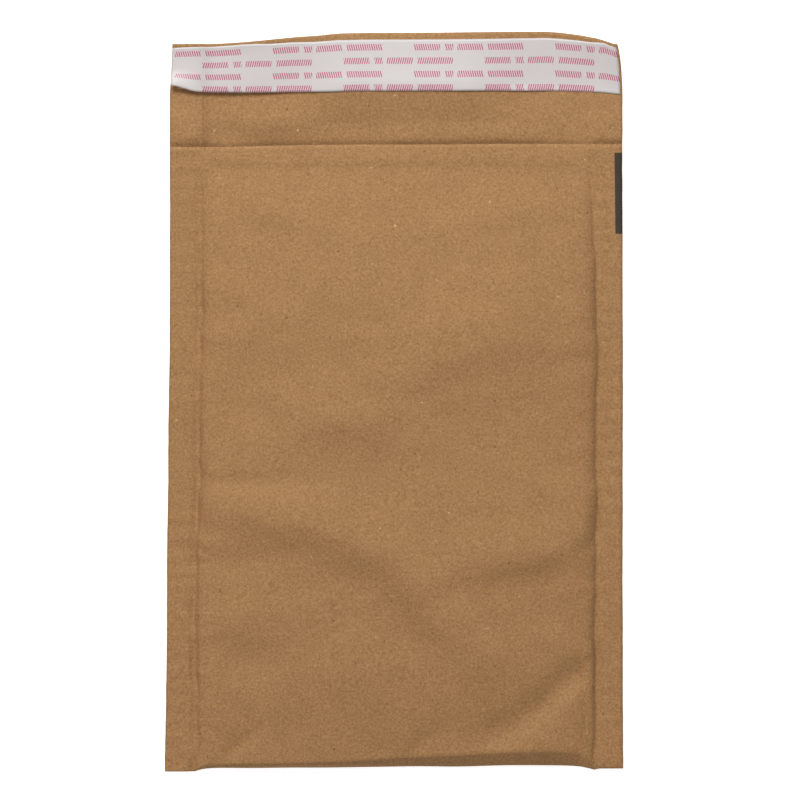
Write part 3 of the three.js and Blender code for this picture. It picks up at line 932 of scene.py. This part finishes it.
def hot_melt():
    """Pressure-sensitive hot-melt adhesive, slot coated: a glossy, pale amber film with coating
    streaks."""
    material, tree, shader = new_material(
        "hot_melt_adhesive", Roughness=0.2, IOR=1.5, Coat_Weight=0.4
    )
    # Streaks about 17 mm long across the web and 1 mm apart.
    drawn = add(tree, "ShaderNodeMapping", {"Vector": object_mm(tree), "Scale": (0.06, 0.9, 0.06)})
    streaks = add(tree, NOISE, {"Vector": drawn, "Scale": 1.0, "Detail": 3.0})
    tint = {0: streaks, MIX_A: linear("#b48b5c"), MIX_B: linear("#cba678")}
    amber = add(tree, MIX, tint, data_type="RGBA")
    tree.links.new(amber.outputs[MIX_COLOUR], shader.inputs["Base Color"])
    bump = add(tree, "ShaderNodeBump", {"Height": streaks, "Strength": 0.4, "Distance": 0.05 * MM})
    tree.links.new(bump.outputs[0], shader.inputs["Normal"])
    return material


def light_table():
    """The cast opal acrylic top of a light table: matt white, and lit from below so that shadows stay
    faint."""
    material, _, shader = new_material(
        "opal_acrylic_light_table", Roughness=0.9, Specular_IOR_Level=0.1, Emission_Strength=0.68
    )
    shader.inputs["Base Color"].default_value = linear("#f7f7f7")
    shader.inputs["Emission Color"].default_value = linear("#f0f8ff")
    return material


film_material = clear_bubble_film()
for piece, material in (
    (kraft_sheet_piece, brown_kraft()),
    (film_piece, film_material),
    (adhesive_piece, hot_melt()),
    (liner_piece, printed_liner()),
):
    piece.data.materials.append(material)

grow(
    film_piece,
    bubbles_tree(),
    Web_width=2 * HALF_WIDTH * MM,
    Web_length=float(travelled(film_rows)[-1]) * MM,
    Pitch=BUBBLE_PITCH * MM,
    Bubble_width=BUBBLE_WIDTH * MM,
    Lowest_bubble=LOWEST_BUBBLE * MM,
    Film=film_material,
)


# ---- Floor, lights and camera --------------------------------------------------------------------

FLOOR_HALF = 3.0
FLOOR_DROP = 0.0002  # under the envelope's rest plane, so that the two never share a surface
signs = ((-1, -1), (1, -1), (1, 1), (-1, 1))
floor_corners = [(x * FLOOR_HALF, y * FLOOR_HALF, -FLOOR_DROP) for x, y in signs]
floor_mesh = bpy.data.meshes.new("floor")
floor_mesh.from_pydata(floor_corners, [], [(0, 1, 2, 3)])
floor_mesh.materials.append(light_table())
floor = bpy.data.objects.new("floor", floor_mesh)
bpy.context.scene.collection.objects.link(floor)


def softbox(name, place, size, power, colour):
    """A square area light that faces the middle of the envelope."""
    lamp = bpy.data.lights.new(name, "AREA")
    lamp.size = size
    lamp.energy = power
    lamp.color = linear(colour)[:3]
    made = bpy.data.objects.new(name, lamp)
    made.location = place
    made.rotation_euler = (-made.location).to_track_quat("-Z", "Y").to_euler()
    bpy.context.scene.collection.objects.link(made)


softbox("key_softbox", place=(-0.26, 1.51, 1.42), size=0.9, power=43, colour="#ffffff")
softbox("fill_softbox", place=(-0.25, -0.2, 2.3), size=1.6, power=12, colour="#ffece2")
world = bpy.data.worlds.new("studio")
world.use_nodes = True
background = world.node_tree.nodes["Background"]
background.inputs["Color"].default_value = (1, 1, 1, 1)
background.inputs["Strength"].default_value = 0.24
bpy.context.scene.world = world
bpy.context.scene.view_settings.view_transform = "Standard"

CAMERA_HEIGHT = 2.0
CAMERA_OFFSET = (0.0024, 0.0007)  # from the frame's origin, across and along
FRAME_WIDTH = 0.3517  # what the square render spans on the table
SENSOR_WIDTH = 36
camera_data = bpy.data.cameras.new("camera")
camera_data.sensor_width = SENSOR_WIDTH
camera_data.lens = SENSOR_WIDTH * CAMERA_HEIGHT / FRAME_WIDTH
camera_data.clip_end = 20
camera = bpy.data.objects.new("camera", camera_data)
camera.location = (*CAMERA_OFFSET, CAMERA_HEIGHT)
bpy.context.scene.collection.objects.link(camera)
bpy.context.scene.camera = camera


# ---- Each piece on the root body, in place of its hidden CAD part --------------------------------

for piece, node, slot in (
    (kraft_sheet_piece, "kraft_sheet", "kraft_paper"),
    (film_piece, "bubble_lining", "bubble_film"),
    (adhesive_piece, "adhesive_strip", "hot_melt_adhesive"),
    (liner_piece, "release_liner", "release_paper"),
):
    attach(piece, "root")
    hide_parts(node)
